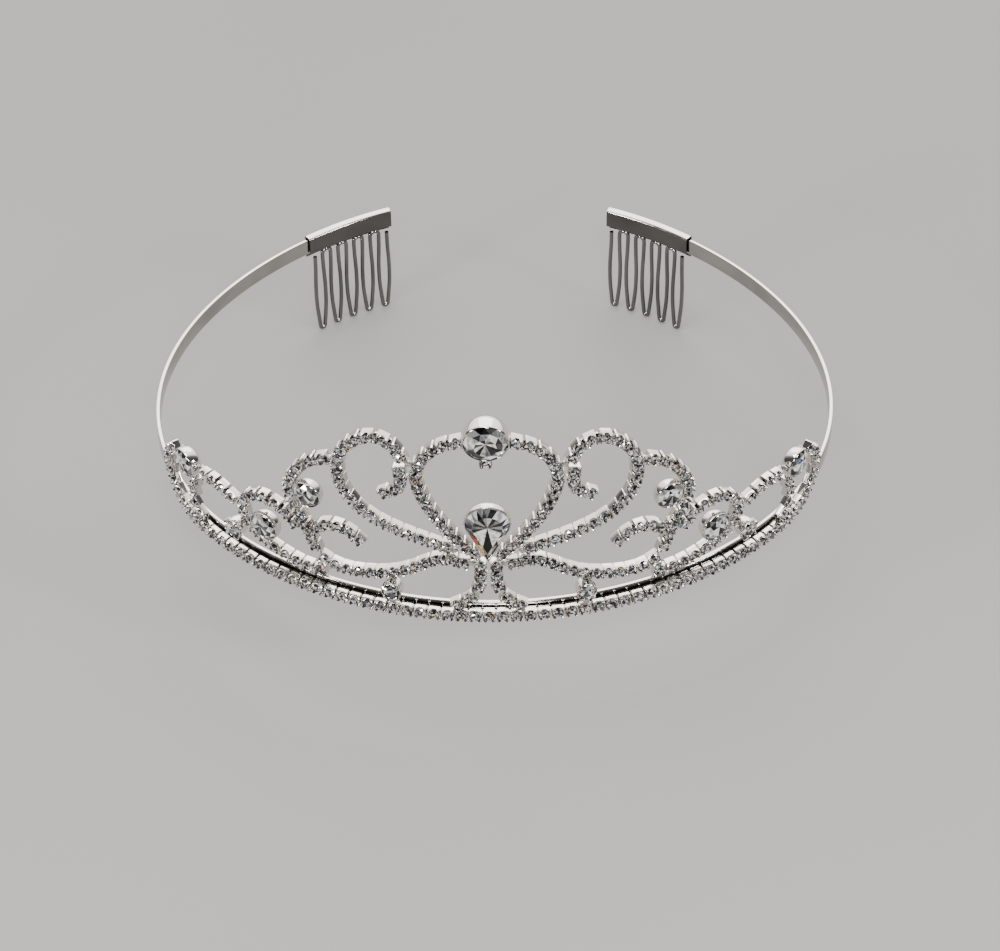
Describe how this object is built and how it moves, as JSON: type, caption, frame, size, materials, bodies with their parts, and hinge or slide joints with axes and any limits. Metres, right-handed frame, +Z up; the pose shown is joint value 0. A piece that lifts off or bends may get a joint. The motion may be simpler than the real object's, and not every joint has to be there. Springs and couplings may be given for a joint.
{
  "type": "bridal tiara",
  "caption": "Horseshoe headband tiara with a front ornament of rhinestone cup chain scrolls, round and pear crystals, and a wire comb on each end.",
  "frame": {"origin": "middle of the piece's box, level with the comb tips", "axes": "+Z up from the comb tips to the ornament, -Y out of the ornament's front, +X to the wearer's left"},
  "size_m": [0.1366, 0.1316, 0.0742],
  "materials": {
    "silver_plate": "bright silver plate, polished",
    "crystal": "clear cut crystal with a foiled back"
  },
  "bodies": {
    "root": {"base_chain": "silver_plate", "centre_setting": "silver_plate", "centre_stem_left": "silver_plate", "centre_stem_right": "silver_plate", "centre_stone": "crystal", "comb_sleeve_left": "silver_plate", "comb_sleeve_right": "silver_plate", "comb_wire_left": "silver_plate", "comb_wire_right": "silver_plate", "end_left_setting": "silver_plate", "end_left_stone": "crystal", "end_right_setting": "silver_plate", "end_right_stone": "crystal", "end_stem_left": "silver_plate", "end_stem_right": "silver_plate", "front_bridge_left_setting": "silver_plate", "front_bridge_left_stone": "crystal", "front_bridge_right_setting": "silver_plate", "front_bridge_right_stone": "crystal", "headband": "silver_plate", "heart_chain_left": "silver_plate", "heart_chain_right": "silver_plate", "hook_chain_left": "silver_plate", "hook_chain_right": "silver_plate", "leaf_chain_left": "silver_plate", "leaf_chain_right": "silver_plate", "link_chain_left": "silver_plate", "link_chain_right": "silver_plate", "loop_chain_left": "silver_plate", "loop_chain_right": "silver_plate", "middle_left_setting": "silver_plate", "middle_left_stone": "crystal", "middle_right_setting": "silver_plate", "middle_right_stone": "crystal", "notch_cup": "silver_plate", "pear_setting": "silver_plate", "pear_stone": "crystal", "petal_chain_left": "silver_plate", "petal_chain_right": "silver_plate", "petal_curl_left": "silver_plate", "petal_curl_right": "silver_plate", "scroll_chain_left": "silver_plate", "scroll_chain_right": "silver_plate", "side_bridge_left_setting": "silver_plate", "side_bridge_left_stone": "crystal", "side_bridge_right_setting": "silver_plate", "side_bridge_right_stone": "crystal", "upper_left_setting": "silver_plate", "upper_left_stone": "crystal", "upper_right_setting": "silver_plate", "upper_right_stone": "crystal"}
  },
  "joints": []
}
